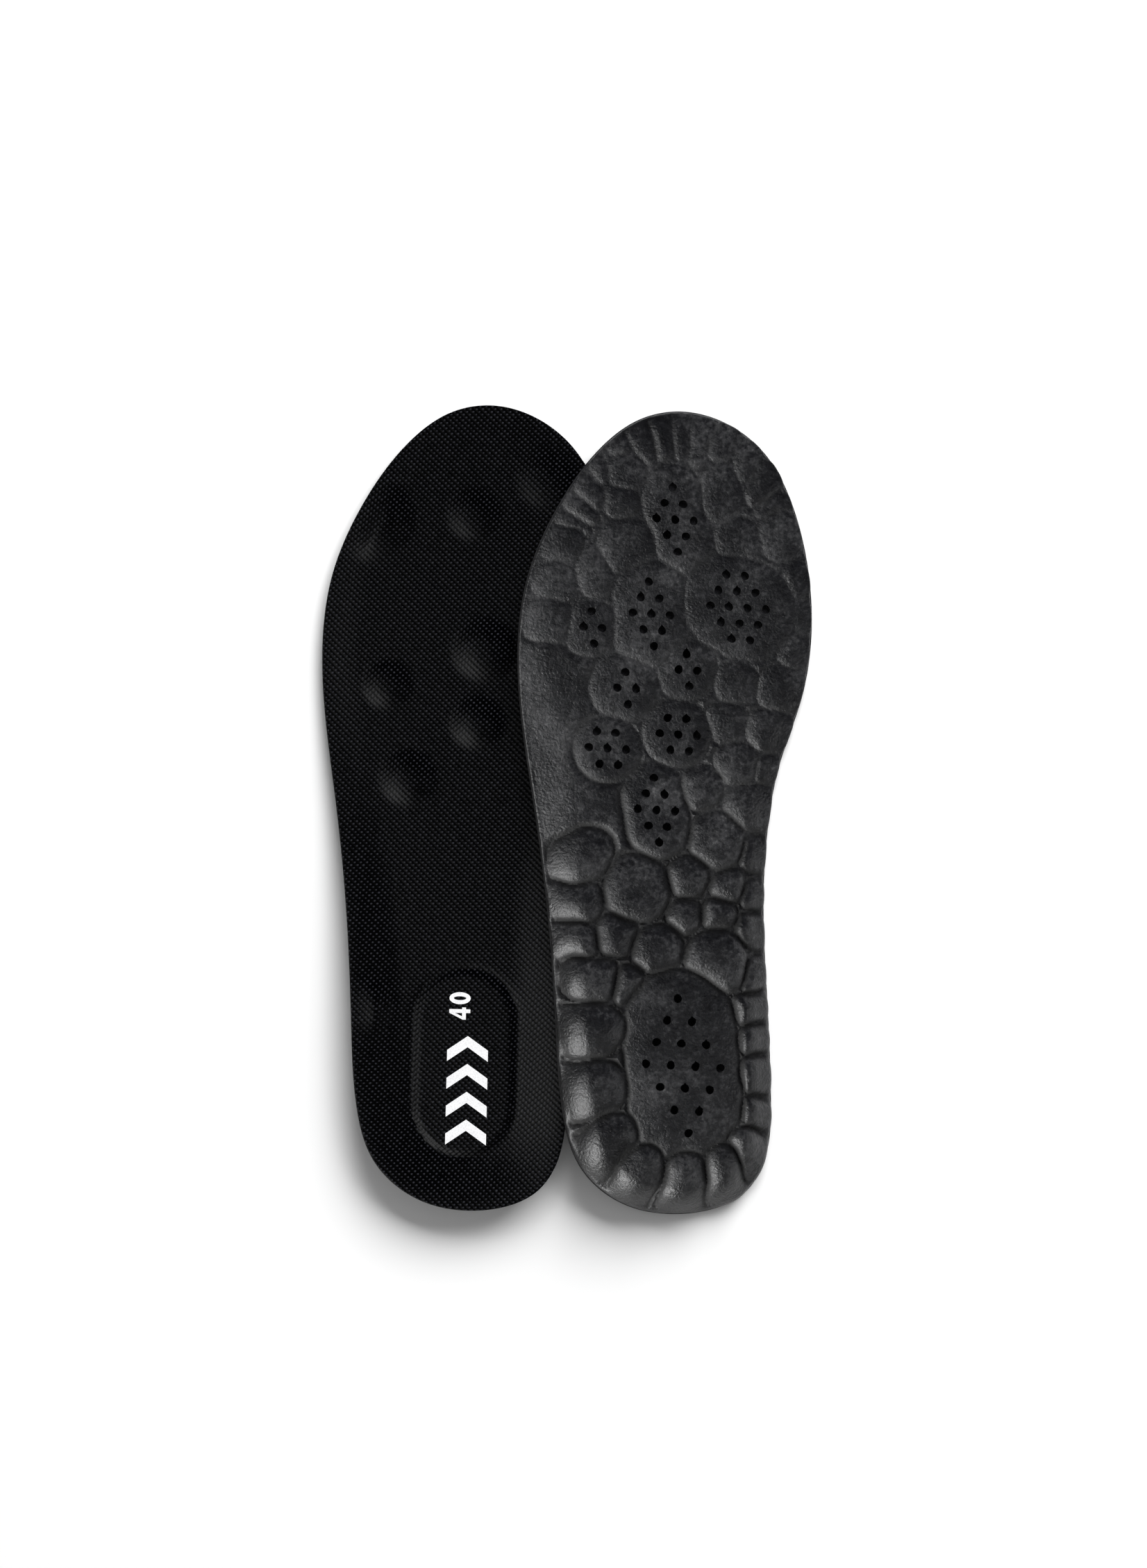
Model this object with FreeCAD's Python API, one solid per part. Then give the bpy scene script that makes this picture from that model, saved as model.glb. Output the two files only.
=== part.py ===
"""A pair of cushioned insoles, EU 40: the left one face up, the right one face down and leaning on it.

Frame: +Z up, the floor at z = 0, +Y from heel to toe, +X towards the medial side of the left foot.
Both insoles share one plan outline and one set of height profiles. The shape frame of an insole has
its origin below the back of the heel, x towards the medial side, y towards the toe and z from the
flat sole to the foot. The left insole lies on its sole. The right one is its mirror image, laid
with the foot side down: its medial rim is on the floor and its lateral side leans on the left one.
"""
import FreeCAD, Part
import math
import os

from FreeCAD import Vector

# ---------------------------------------------------------------- driving dimensions, millimetres
INSOLE_LENGTH = 260.2        # EU 40
CLOTH = 0.70                 # knitted top cloth
FILM = 0.15                  # hot-melt bonding film
FOAM = 2.0                   # soft foam inlay, let into the moulded base
INK = 0.10                   # printed ink, raised on the cloth
EDGE = 2.6                   # thickness of the whole stack at its outer edge
FOAM_INSET = 6.5             # from the outer edge to the edge of the foam inlay
SOLE_CROWN = 0.7             # how far the flank profile runs below the sole before it is cut flat

LEFT_AT = (-35.55, -129.00)  # heel origin of the left insole, and its turn about +Z
LEFT_TURN = -1.3
RIGHT_AT = (31.65, -131.00)  # heel origin of the right insole
FLOOR_GAP = 0.36             # clear height under the medial rim of the insole that lies face down

VENT_DIAMETER = 2.6
GRID_STEP = 5.0              # spacing of the points that carry the curved surfaces
GRID_MARGIN = 8.0            # how far those surfaces run past the outline
OUTLINE_ARCS = 6             # the side wall is split into this many faces
TALL = 60.0                  # taller than any insole, for the trimming prisms

# Plan outline, clockwise from the back of the heel: lateral edge up, toe, medial edge down.
OUTLINE = [
    (3.8, 0.0), (-8.8, 1.8), (-19.0, 6.9), (-27.6, 16.0), (-33.0, 32.0), (-35.5, 60.0),
    (-37.9, 95.0), (-42.5, 132.0), (-47.2, 166.0), (-47.8, 183.0), (-45.2, 204.0),
    (-36.5, 226.0), (-22.0, 247.0), (-8.0, 257.6), (5.0, INSOLE_LENGTH), (19.0, 256.8),
    (32.5, 246.4), (41.5, 229.5), (46.6, 208.0), (47.5, 187.0), (44.0, 166.0), (37.3, 146.0),
    (33.5, 126.0), (32.0, 99.0), (33.4, 66.0), (34.4, 38.0), (32.9, 19.5), (26.0, 7.0), (15.0, 1.4),
]

# Height profiles from heel to toe: (y, value)
CORE_HEIGHT = [(0, 7.4), (60, 7.4), (110, 6.6), (160, 5.4), (215, 5.0), (260, 4.0)]
RIM_HEIGHT = [(0, 12.0), (50, 12.0), (80, 10.8), (105, 8.8), (135, 6.3), (165, 4.5), (200, 4.2), (260, 3.7)]
CUP_WIDTH = [(0, 18.0), (80, 17.0), (140, 14.0), (180, 12.0), (260, 12.0)]
LATERAL_FLANK = [(0, 17.0), (60, 17.0), (110, 19.0), (145, 23.0), (185, 15.0), (260, 12.0)]
MEDIAL_FLANK = [(0, 15.0), (60, 13.0), (140, 12.0), (200, 11.0), (260, 12.0)]
LEAN = [(0, 10.8), (70, 10.6), (110, 8.2), (140, 6.8), (180, 5.6), (260, 5.4)]   # degrees
FLANK_POWER = 1.4

# Vent groups in the sole: centre, rows of holes from toe to heel, pitch along and between the rows
VENT_GROUPS = [
    ((3.2, 224.8), (1, 2, 3, 2, 1), 6.0, 5.2),
    ((23.6, 196.5), (2, 3, 4, 3, 2), 6.0, 5.2),
    ((-4.5, 194.3), (1, 2, 3, 2, 1), 6.0, 5.2),
    ((-23.4, 189.9), (1, 2, 1), 6.0, 5.2),
    ((7.3, 176.2), (1, 2, 1), 6.0, 5.2),
    ((-12.5, 170.3), (1, 2, 1), 6.0, 5.2),
    ((4.2, 155.4), (2, 3, 2), 6.0, 5.2),
    ((-18.7, 150.9), (2, 3, 2), 6.0, 5.2),
    ((-2.9, 131.0), (1, 2, 3, 2, 1), 6.0, 5.2),
    ((5.6, 48.8), (1, 2, 3, 4, 3, 2, 1), 8.0, 7.2),
]
ROW_SLOPE = -0.07            # the rows fall towards the medial side
COLUMN_LEAN = 0.08           # and each row towards the heel is set over medially

# Prints on the cloth: place in the shape frame, size
DIGITS_AT = (-0.6, 65.9)
DIGIT_HEIGHT = 6.8
DIGIT_WIDTH = 3.9
DIGIT_PITCH = 4.8
DIGIT_STROKE = 1.15
MARK_AT = (2.2, 38.5)
MARK_COUNT = 4
MARK_PITCH = 9.0
MARK_HALF_WIDTH = 6.6
MARK_DEPTH = 4.6
MARK_STROKE = 3.0


# ---------------------------------------------------------------- profiles
def along(stations, at):
    """Value at a place on a list of (place, value) stations, joined by smooth cubics."""
    if at <= stations[0][0]:
        return stations[0][1]
    if at >= stations[-1][0]:
        return stations[-1][1]
    slopes = [0.0]
    for before, after in zip(stations, stations[2:]):
        slopes.append((after[1] - before[1]) / (after[0] - before[0]))
    slopes.append(0.0)
    i = max(k for k, station in enumerate(stations) if station[0] <= at)
    (p0, v0), (p1, v1) = stations[i], stations[i + 1]
    run = p1 - p0
    t = (at - p0) / run
    return ((2 * t**3 - 3 * t**2 + 1) * v0 + (t**3 - 2 * t**2 + t) * run * slopes[i]
            + (3 * t**2 - 2 * t**3) * v1 + (t**3 - t**2) * run * slopes[i + 1])


def closed_spline(points):
    """A smooth closed curve through plan points."""
    curve = Part.BSplineCurve()
    curve.interpolate([Vector(x, y, 0) for x, y in points], PeriodicFlag=True)
    return curve


def inset(points, gap):
    """Plan points moved inwards by a gap; the points run clockwise."""
    moved = []
    for i, (x, y) in enumerate(points):
        ax, ay = points[i - 1]
        bx, by = points[(i + 1) % len(points)]
        length = math.hypot(bx - ax, by - ay)
        moved.append((x + gap * (by - ay) / length, y - gap * (bx - ax) / length))
    return moved


EDGE_SAMPLES = [(p.x, p.y) for p in closed_spline(OUTLINE).discretize(Number=320)]


def inside_distance(x, y):
    """Distance from the outline, positive inside it."""
    nearest = min(math.hypot(x - ex, y - ey) for ex, ey in EDGE_SAMPLES)
    inside = False
    for (ax, ay), (bx, by) in zip(EDGE_SAMPLES, EDGE_SAMPLES[1:]):
        if (ay > y) != (by > y) and x < ax + (bx - ax) * (y - ay) / (by - ay):
            inside = not inside
    return nearest if inside else -nearest


def foot_height(x, y):
    """Top of the cloth above the sole plane: a level core that rises into the heel cup rim."""
    t = min(max(1.0 - inside_distance(x, y) / along(CUP_WIDTH, y), 0.0), 1.4)
    core = along(CORE_HEIGHT, y)
    return core + (along(RIM_HEIGHT, y) - core) * t * t * (3.0 - 2.0 * min(t, 1.0))


def sole_height(x, y):
    """Underside above the sole plane: flanks that rise to the outer edge."""
    medial = 0.5 * (1.0 + math.tanh(x / 14.0))
    flank = medial * along(MEDIAL_FLANK, y) + (1.0 - medial) * along(LATERAL_FLANK, y)
    t = min(max(1.0 - inside_distance(x, y) / flank, 0.0), 1.4)
    rise = along(RIM_HEIGHT, y) - EDGE
    return (rise + SOLE_CROWN) * t**FLANK_POWER - SOLE_CROWN


def medial_edge(y):
    """x of the medial outline at y."""
    return max(x for x, ey in EDGE_SAMPLES if abs(ey - min(max(y, 2.0), INSOLE_LENGTH - 2.0)) < 2.5)


# ---------------------------------------------------------------- the two ways an insole lies
class Lie:
    """How one insole lies: its name, where it is, and which way up."""

    def __init__(self, name, at, turn, face_up):
        self.name = name
        self.at = at
        self.turn = turn
        self.face_up = face_up

    def level(self, x, y, height):
        """World height of a point of the shape frame."""
        if self.face_up:
            return height
        lean = math.tan(math.radians(along(LEAN, y)))
        sole = along(RIM_HEIGHT, y) + FLOOR_GAP + (medial_edge(y) - x) * lean
        return sole - height

    def surface(self, height_at):
        """A curved face over the whole grid, at a height given in the shape frame."""
        xs = [x for x, _ in OUTLINE]
        low, high = min(xs) - GRID_MARGIN, max(xs) + GRID_MARGIN
        columns = int(round((high - low) / GRID_STEP))
        rows = int(round((INSOLE_LENGTH + 2 * GRID_MARGIN) / GRID_STEP))
        grid = []
        for i in range(columns + 1):
            x = low + (high - low) * i / columns
            line = []
            for j in range(rows + 1):
                y = -GRID_MARGIN + (INSOLE_LENGTH + 2 * GRID_MARGIN) * j / rows
                line.append(Vector(x, y, self.level(x, y, height_at(x, y))))
            grid.append(line)
        surface = Part.BSplineSurface()
        surface.interpolate(grid)
        return surface.toShape()

    def toward_sole(self, distance):
        """A vertical step that goes deeper into the insole from the foot side."""
        return Vector(0, 0, -distance if self.face_up else distance)

    def placed(self, shape):
        """The shape set down where this insole lies."""
        shape = shape.copy()
        shape.rotate(Vector(0, 0, 0), Vector(0, 0, 1), self.turn)
        shape.translate(Vector(self.at[0], self.at[1], 0))
        return shape


def prism(points):
    """A tall prism over a closed smooth plan outline."""
    curve = closed_spline(points)
    first, span = curve.FirstParameter, curve.LastParameter - curve.FirstParameter
    arcs = [curve.toShape(first + span * k / OUTLINE_ARCS, first + span * (k + 1) / OUTLINE_ARCS)
            for k in range(OUTLINE_ARCS)]
    face = Part.Face(Part.Wire(arcs))
    face.translate(Vector(0, 0, -TALL))
    return face.extrude(Vector(0, 0, 2 * TALL))


def layer(lie, foot_face, plan, depth_top, depth_bottom):
    """The slice of a plan prism between two depths below the foot side."""
    top = foot_face.copy()
    top.translate(lie.toward_sole(depth_top))
    return plan.common(top.extrude(lie.toward_sole(depth_bottom - depth_top)))


# ---------------------------------------------------------------- the sub-parts
def vents():
    """Every vent hole as a cylinder along z, in the shape frame."""
    holes = []
    for (cx, cy), rows, pitch, row_step in VENT_GROUPS:
        for r, count in enumerate(rows):
            down = r - (len(rows) - 1) / 2
            for c in range(count):
                across = c - (count - 1) / 2
                x = cx + across * pitch + down * row_step * COLUMN_LEAN
                y = cy - down * row_step + across * pitch * ROW_SLOPE
                holes.append(Part.makeCylinder(VENT_DIAMETER / 2, 2 * TALL, Vector(x, y, -TALL)))
    return Part.makeCompound(holes)


def moulded_base(lie, foot_face, sole_face, plan, foam):
    """The foam moulding: cup, flanks and flat sole, a pocket for the inlay, and the vents."""
    top = foot_face.copy()
    top.translate(lie.toward_sole(CLOTH + FILM))
    body = plan.common(top.extrude(lie.toward_sole(TALL)))
    body = body.cut(sole_face.extrude(lie.toward_sole(2 * TALL)))
    if lie.face_up:
        body = body.cut(Part.makeBox(400, 400, TALL, Vector(-200, -60, -TALL)))
    return body.cut(foam).cut(vents())


def stroke(start, end, width):
    """A straight bar in plan, as a tall prism."""
    (ax, ay), (bx, by) = start, end
    length = math.hypot(bx - ax, by - ay)
    nx, ny = -(by - ay) / length * width / 2, (bx - ax) / length * width / 2
    corners = [(ax + nx, ay + ny), (bx + nx, by + ny), (bx - nx, by - ny), (ax - nx, ay - ny)]
    wire = Part.makePolygon([Vector(x, y, -TALL) for x, y in corners + corners[:1]])
    return Part.Face(wire).extrude(Vector(0, 0, 2 * TALL))


def fused(solids):
    """Several solids joined into one."""
    return solids[0].fuse(solids[1:]).removeSplitter()


def digit_prisms(side):
    """The size number 40, reading from heel to toe; its top is lateral for a side of 1, medial for -1."""
    cx, cy = DIGITS_AT
    half = DIGIT_HEIGHT / 2
    inner = half - DIGIT_STROKE / 2
    four_y, nought_y = cy - DIGIT_PITCH / 2, cy + DIGIT_PITCH / 2
    stem_y = four_y + 0.55
    bar_x = cx + side * 1.3
    four = fused([
        stroke((cx - half, stem_y), (cx + half, stem_y), DIGIT_STROKE),
        stroke((bar_x, four_y - DIGIT_WIDTH / 2), (bar_x, four_y + DIGIT_WIDTH / 2), DIGIT_STROKE),
        stroke((cx - side * (half - 0.2), stem_y), (bar_x, four_y - DIGIT_WIDTH / 2 + 0.5), DIGIT_STROKE),
    ])
    rings = []
    for along_x, along_y in ((half, DIGIT_WIDTH / 2), (inner - 0.5, DIGIT_WIDTH / 2 - DIGIT_STROKE)):
        oval = Part.Ellipse(Vector(cx, nought_y, -TALL), along_x, along_y).toShape()
        rings.append(Part.Face(Part.Wire(oval)).extrude(Vector(0, 0, 2 * TALL)))
    return [four, rings[0].cut(rings[1])]


def chevron_prisms():
    """A plain row of chevrons that point to the toe."""
    cx, cy = MARK_AT
    marks = []
    for i in range(MARK_COUNT):
        tip_y = cy + (i - (MARK_COUNT - 1) / 2) * MARK_PITCH + MARK_DEPTH / 2
        arms = [stroke((cx, tip_y), (cx + side * MARK_HALF_WIDTH, tip_y - MARK_DEPTH), MARK_STROKE)
                for side in (-1, 1)]
        marks.append(fused(arms))
    return marks


def insole(lie):
    """Every sub-part of one insole, by node name."""
    foot_face = lie.surface(foot_height)
    sole_face = lie.surface(sole_height if lie.face_up else lambda x, y: max(sole_height(x, y), 0.0))
    plan = prism(OUTLINE)
    inner_plan = prism(inset(OUTLINE, FOAM_INSET))

    foam_top = CLOTH + FILM
    foam = layer(lie, foot_face, inner_plan, foam_top, foam_top + FOAM)
    digits = digit_prisms(1 if lie.face_up else -1)
    prints = {"size_print": digits, "heel_mark": chevron_prisms()}
    parts = {
        "moulded_base": moulded_base(lie, foot_face, sole_face, plan, foam),
        "cushion_foam": foam,
        "bond_film": layer(lie, foot_face, plan, CLOTH, foam_top),
        "top_cloth": layer(lie, foot_face, plan, 0.0, CLOTH),
    }
    for name, prisms in prints.items():
        parts[name] = Part.makeCompound([layer(lie, foot_face, p, -INK, 0.0) for p in prisms])
    return {f"{lie.name}_{name}": lie.placed(shape) for name, shape in parts.items()}


# ---------------------------------------------------------------- build
os.makedirs("parts", exist_ok=True)
for lie in (Lie("left", LEFT_AT, LEFT_TURN, True), Lie("right", RIGHT_AT, 0.0, False)):
    for node, shape in insole(lie).items():
        solids = Part.makeCompound(shape.Solids) if len(shape.Solids) > 1 else shape.Solids[0]
        solids.exportStep(f"parts/{node}.step")
        points, _ = solids.tessellate(0.1)
        low = [round(min(p[i] for p in points), 2) for i in range(3)]
        high = [round(max(p[i] for p in points), 2) for i in range(3)]
        print(f"{node:24s} solids {len(shape.Solids)}  valid {solids.isValid()}"
              f"  volume {solids.Volume / 1000:7.2f} cm3  from {low} to {high}")
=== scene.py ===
"""The looks of a pair of cushioned insoles: the left one face up, the right one face down and
leaning on it.

Shapes are worked out in the shape frame of an insole, in millimetres: its origin is below the back
of the heel, x runs to the medial side, y to the toe and z from the flat sole to the foot. Place
turns that frame into the row frame, in metres.
"""
import math

import bpy
import numpy as np
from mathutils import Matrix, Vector, geometry, kdtree, noise


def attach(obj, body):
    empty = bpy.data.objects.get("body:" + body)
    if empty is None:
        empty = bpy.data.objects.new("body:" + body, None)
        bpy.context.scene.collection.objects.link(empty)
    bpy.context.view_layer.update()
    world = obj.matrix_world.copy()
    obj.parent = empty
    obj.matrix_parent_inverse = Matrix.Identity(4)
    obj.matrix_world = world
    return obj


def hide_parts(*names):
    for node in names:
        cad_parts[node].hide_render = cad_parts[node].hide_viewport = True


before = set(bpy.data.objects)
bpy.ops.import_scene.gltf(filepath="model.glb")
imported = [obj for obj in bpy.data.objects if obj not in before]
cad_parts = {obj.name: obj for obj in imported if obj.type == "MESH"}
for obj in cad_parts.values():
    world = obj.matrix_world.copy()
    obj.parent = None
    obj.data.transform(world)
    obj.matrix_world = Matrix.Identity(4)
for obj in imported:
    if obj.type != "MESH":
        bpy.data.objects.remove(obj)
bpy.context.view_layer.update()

MM = 0.001

# ---------------------------------------------------------------- the insole, as in the CAD model
INSOLE_LENGTH = 260.2
CLOTH = 0.70                                          # thickness of the top cloth,
FILM = 0.15                                           # of the bonding film,
FOAM = 2.0                                            # of the inlay
INK = 0.10                                            # and of the print
EDGE = 2.6                                            # thickness of the whole stack at the edge
FOAM_INSET = 6.5                                      # how far the inlay stays in from the edge
FLOOR_GAP = 0.36                                      # lift of the insole that lies face down
LEFT_AT, LEFT_TURN = (-35.55, -129.00), -1.3
RIGHT_AT, RIGHT_TURN = (31.65, -131.00), 0.0
VENT_RADIUS = 1.3

OUTLINE = [
    (3.8, 0.0), (-8.8, 1.8), (-19.0, 6.9), (-27.6, 16.0), (-33.0, 32.0), (-35.5, 60.0),
    (-37.9, 95.0), (-42.5, 132.0), (-47.2, 166.0), (-47.8, 183.0), (-45.2, 204.0),
    (-36.5, 226.0), (-22.0, 247.0), (-8.0, 257.6), (5.0, INSOLE_LENGTH), (19.0, 256.8),
    (32.5, 246.4), (41.5, 229.5), (46.6, 208.0), (47.5, 187.0), (44.0, 166.0), (37.3, 146.0),
    (33.5, 126.0), (32.0, 99.0), (33.4, 66.0), (34.4, 38.0), (32.9, 19.5), (26.0, 7.0), (15.0, 1.4),
]
# Profiles along the insole, as (place from the heel, value); LEAN is in degrees
CORE_HEIGHT = [(0, 7.4), (60, 7.4), (110, 6.6), (160, 5.4), (215, 5.0), (260, 4.0)]
RIM_HEIGHT = [
    (0, 12.0), (50, 12.0), (80, 10.8), (105, 8.8), (135, 6.3), (165, 4.5), (200, 4.2), (260, 3.7),
]
CUP_WIDTH = [(0, 18.0), (80, 17.0), (140, 14.0), (180, 12.0), (260, 12.0)]
LATERAL_FLANK = [(0, 17.0), (60, 17.0), (110, 19.0), (145, 23.0), (185, 15.0), (260, 12.0)]
MEDIAL_FLANK = [(0, 15.0), (60, 13.0), (140, 12.0), (200, 11.0), (260, 12.0)]
LEAN = [(0, 10.8), (70, 10.6), (110, 8.2), (140, 6.8), (180, 5.6), (260, 5.4)]
FLANK_POWER = [(0, 2.9), (80, 2.7), (110, 2.3), (150, 1.6), (260, 1.5)]
SOLE_CROWN = 0.7                                      # where the flank's curve ends below the sole,
SOLE_CORNER = 0.09                                    # what rounds the corner between them,
SOLE_REST = 0.03                                      # and what brings the sole back to 0
SIDE_BLEND = 14.0                                     # how wide the change between flanks is

# Groups of vents: centre, vents in each row from the toe, pitch in a row and step between rows
VENT_GROUPS = [
    ((3.2, 224.8), (1, 2, 3, 2, 1), 6.0, 5.2),
    ((23.6, 196.5), (2, 3, 4, 3, 2), 6.0, 5.2),
    ((-4.5, 194.3), (1, 2, 3, 2, 1), 6.0, 5.2),
    ((-23.4, 189.9), (1, 2, 1), 6.0, 5.2),
    ((7.3, 176.2), (1, 2, 1), 6.0, 5.2),
    ((-12.5, 170.3), (1, 2, 1), 6.0, 5.2),
    ((4.2, 155.4), (2, 3, 2), 6.0, 5.2),
    ((-18.7, 150.9), (2, 3, 2), 6.0, 5.2),
    ((-2.9, 131.0), (1, 2, 3, 2, 1), 6.0, 5.2),
    ((5.6, 48.8), (1, 2, 3, 4, 3, 2, 1), 8.0, 7.2),
]
ROW_SLOPE = -0.07                                     # rise of a row to the medial side, by run
COLUMN_LEAN = 0.08                                    # sideways shift of a row, by its step

# Cells of the moulded underside: the chain of places that a cell grows from, the radius it claims,
# how far in from its crease it is rounded, and its share of the crease depth at that place.
CELLS = [
    # perforated pads, from the big toe to the heel
    ([(2.0, 233), (2.8, 226), (6.5, 216)], 9.6, 5.0, 0.9),
    ([(21, 198), (27, 195)], 15.5, 6.0, 0.9),
    ([(-4.5, 200), (-4.8, 188)], 12.2, 6.0, 0.9),
    ([(-23.8, 189.6)], 9.0, 5.0, 0.9),
    ([(6.5, 176.4)], 10.0, 5.0, 0.9),
    ([(-12.6, 170.8)], 11.4, 6.0, 0.9),
    ([(3.6, 155.5)], 11.0, 5.0, 0.9),
    ([(-18.5, 150.6)], 10.5, 5.0, 0.8),
    ([(-3.6, 136), (-2.0, 125)], 10.2, 5.0, 0.9),
    ([(4.5, 62), (5.6, 48), (6.5, 35.5)], 18.0, 9.0, 0.4),
    # heel ring, up the lateral side, round the back and down the medial side
    ([(-27.8, 77.5), (-21, 76)], 7.6, 8.4, 1.0),
    ([(-22.4, 60.6), (-30, 60)], 9.0, 9.0, 1.0),
    ([(-22.4, 41.4), (-31, 40.5)], 9.6, 9.0, 1.0),
    ([(-17.6, 26.0), (-25, 18)], 8.4, 8.4, 1.0),
    ([(-8.3, 15.5), (-13, 6)], 8.0, 8.4, 1.0),
    ([(6.4, 12.6), (5, 3)], 7.8, 8.4, 1.0),
    ([(19.4, 15.6), (21, 6)], 7.4, 8.4, 1.0),
    ([(27.4, 23.5), (31, 14)], 6.8, 6.8, 1.0),
    ([(28.6, 33.4), (34, 31)], 6.2, 6.2, 1.0),
    ([(29.0, 45.6), (35, 45)], 7.0, 6.2, 1.0),
    ([(28.2, 57.2), (34, 57)], 6.2, 6.2, 1.0),
    ([(25.4, 66.8), (33, 67)], 6.2, 6.2, 1.0),
    # waist
    ([(29.0, 77.6)], 7.0, 5.8, 1.0),
    ([(17.0, 81.6)], 11.4, 7.0, 0.9),
    ([(-11.7, 74.2)], 7.4, 5.8, 0.9),
    ([(-2.7, 85.4)], 8.8, 6.4, 0.9),
    ([(-16.0, 91.2)], 7.6, 6.4, 0.9),
    ([(-27.4, 89.2), (-34, 89)], 6.9, 7.0, 1.0),
    ([(-26.0, 101.2), (-34, 102)], 7.4, 7.0, 1.0),
    ([(-9.2, 105.6)], 11.2, 7.0, 0.95),
    ([(-25.0, 116.6), (-30, 114)], 8.6, 8.0, 1.0),
    ([(7.4, 109.2)], 7.4, 5.8, 0.95),
    ([(6.3, 96.8)], 6.6, 5.8, 0.95),
    ([(17.2, 97.0)], 6.4, 5.8, 1.0),
    ([(20.6, 106.6)], 6.8, 5.8, 1.0),
    ([(17.0, 121.0)], 9.8, 6.4, 0.95),
    ([(28.9, 116.6), (33, 116)], 6.6, 5.4, 1.0),
    ([(26.4, 131.6), (32, 131)], 8.2, 6.4, 1.0),
    ([(29.3, 103.2), (33, 103)], 6.0, 5.4, 1.0),
    ([(27.6, 91.4), (33, 91)], 6.6, 5.4, 1.0),
    # between the waist and the ball
    ([(11.6, 138.0)], 7.6, 5.0, 0.95),
    ([(23.2, 146.0)], 7.6, 5.0, 1.0),
    ([(34.4, 143.0)], 6.4, 5.0, 1.0),
    ([(19.7, 159.4)], 7.4, 5.0, 0.95),
    ([(32.3, 156.6), (39, 156)], 7.2, 5.0, 1.0),
    ([(23.0, 171.8)], 7.4, 5.0, 1.0),
    ([(36.4, 170.4), (43, 168)], 7.6, 5.0, 0.9),
    ([(42.2, 181.8)], 6.2, 5.0, 1.0),
    ([(44.0, 192.8)], 5.8, 5.0, 1.0),
    ([(42.6, 204.6)], 6.2, 5.0, 1.0),
    # round the toe box
    ([(38.0, 219.8)], 8.6, 5.0, 1.0),
    ([(22.4, 218.4), (25, 217.8)], 7.6, 5.0, 0.95),
    ([(17.8, 237), (18.4, 230)], 7.0, 5.0, 0.95),
    ([(-12.4, 239.8)], 7.0, 5.0, 1.0),
    ([(-14.2, 229.8)], 6.6, 5.0, 1.0),
    ([(-12.6, 216.4)], 10.0, 5.0, 0.95),
    ([(-22.9, 211), (-22.6, 205.6)], 6.6, 5.0, 1.0),
    ([(-36, 217.4), (-31, 217)], 6.2, 5.0, 0.9),
    ([(-37, 205), (-33, 204)], 6.4, 5.0, 0.9),
    ([(-40, 192.4), (-35, 192)], 7.0, 5.0, 0.8),
    # ridges that run out to the edge of the toe
    ([(-35, 226), (-27, 220)], 3.4, 3.0, 1.0),
    ([(-32, 231.5), (-24.5, 225)], 3.2, 3.0, 1.0),
    ([(-28, 237.5), (-21, 230.5)], 3.6, 3.0, 1.0),
    ([(-23, 243.5), (-20, 239)], 3.4, 3.0, 1.0),
    ([(-16, 250.5), (-14, 246.5)], 3.8, 3.2, 1.0),
    ([(-9.5, 255), (-5.6, 246)], 4.2, 3.2, 1.0),
    ([(-1.5, 258), (-0.4, 247)], 4.0, 3.2, 1.0),
    ([(5.4, 258.5), (5.6, 247)], 3.6, 3.2, 1.0),
    ([(12, 257.5), (10.6, 245)], 4.0, 3.2, 1.0),
    ([(20.5, 254), (17.6, 246.4)], 4.6, 3.4, 1.0),
    ([(28.5, 247.8), (24.6, 240)], 4.6, 3.4, 1.0),
    ([(35, 240), (30, 233)], 5.2, 3.6, 1.0),
    ([(40, 231), (33, 228)], 4.6, 3.6, 1.0),
]
CREASE_DEPTH = [
    (0, 3.0), (75, 2.9), (105, 2.2), (140, 1.4), (185, 0.75), (225, 0.75), (243, 0.8), (260, 0.75),
]
STONE_REACH = 1.07                                    # how far a cell may reach, over its radius
HEEL_CELL = 9                                         # the heel pad, and the stones that overlap it
RING_CELLS = slice(11, 18)
CREASE_BLEND = 1.5                                    # how sharply cells meet, per millimetre
CREASE_WARP, CREASE_WARP_SIZE = 0.7, 7.0              # how far noise bends creases, and its size
CROWN_POWER = 2.2                                     # how flat the crown of a cell is
GROUND = 0.42                                         # depth between cells, over the crease depth
GROUND_RUN = 2.2                                      # how far past a crease it takes to get there
SHALLOWER = 0.35                                      # by how much forefoot cells differ in depth
GROOVE = [(0, 0.6), (110, 0.5), (150, 0.18), (260, 0.12)]
GROOVE_WIDTH = 0.6                                    # of the narrow groove along every crease
SINK_SLANT = 0.5                                      # how much of the flank's slope creases follow
EDGE_FADE, EDGE_SHARE = 9.0, 0.25                     # run to full depth, and share at the edge
EDGE_SWELL = 1.1                                      # how far medial cells swell past the edge,
SWELL_DEPTH, SWELL_WIDTH = 1.3, 1.1                   # and how far in from it
SKIN_WAVE, SKIN_WAVE_SIZE = 0.05, 3.0                 # unevenness of the skin
SLOPE_STEP = 0.4                                      # step over which the flank's slope is taken
FAR = 60                                              # counts as no crease at all

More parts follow.
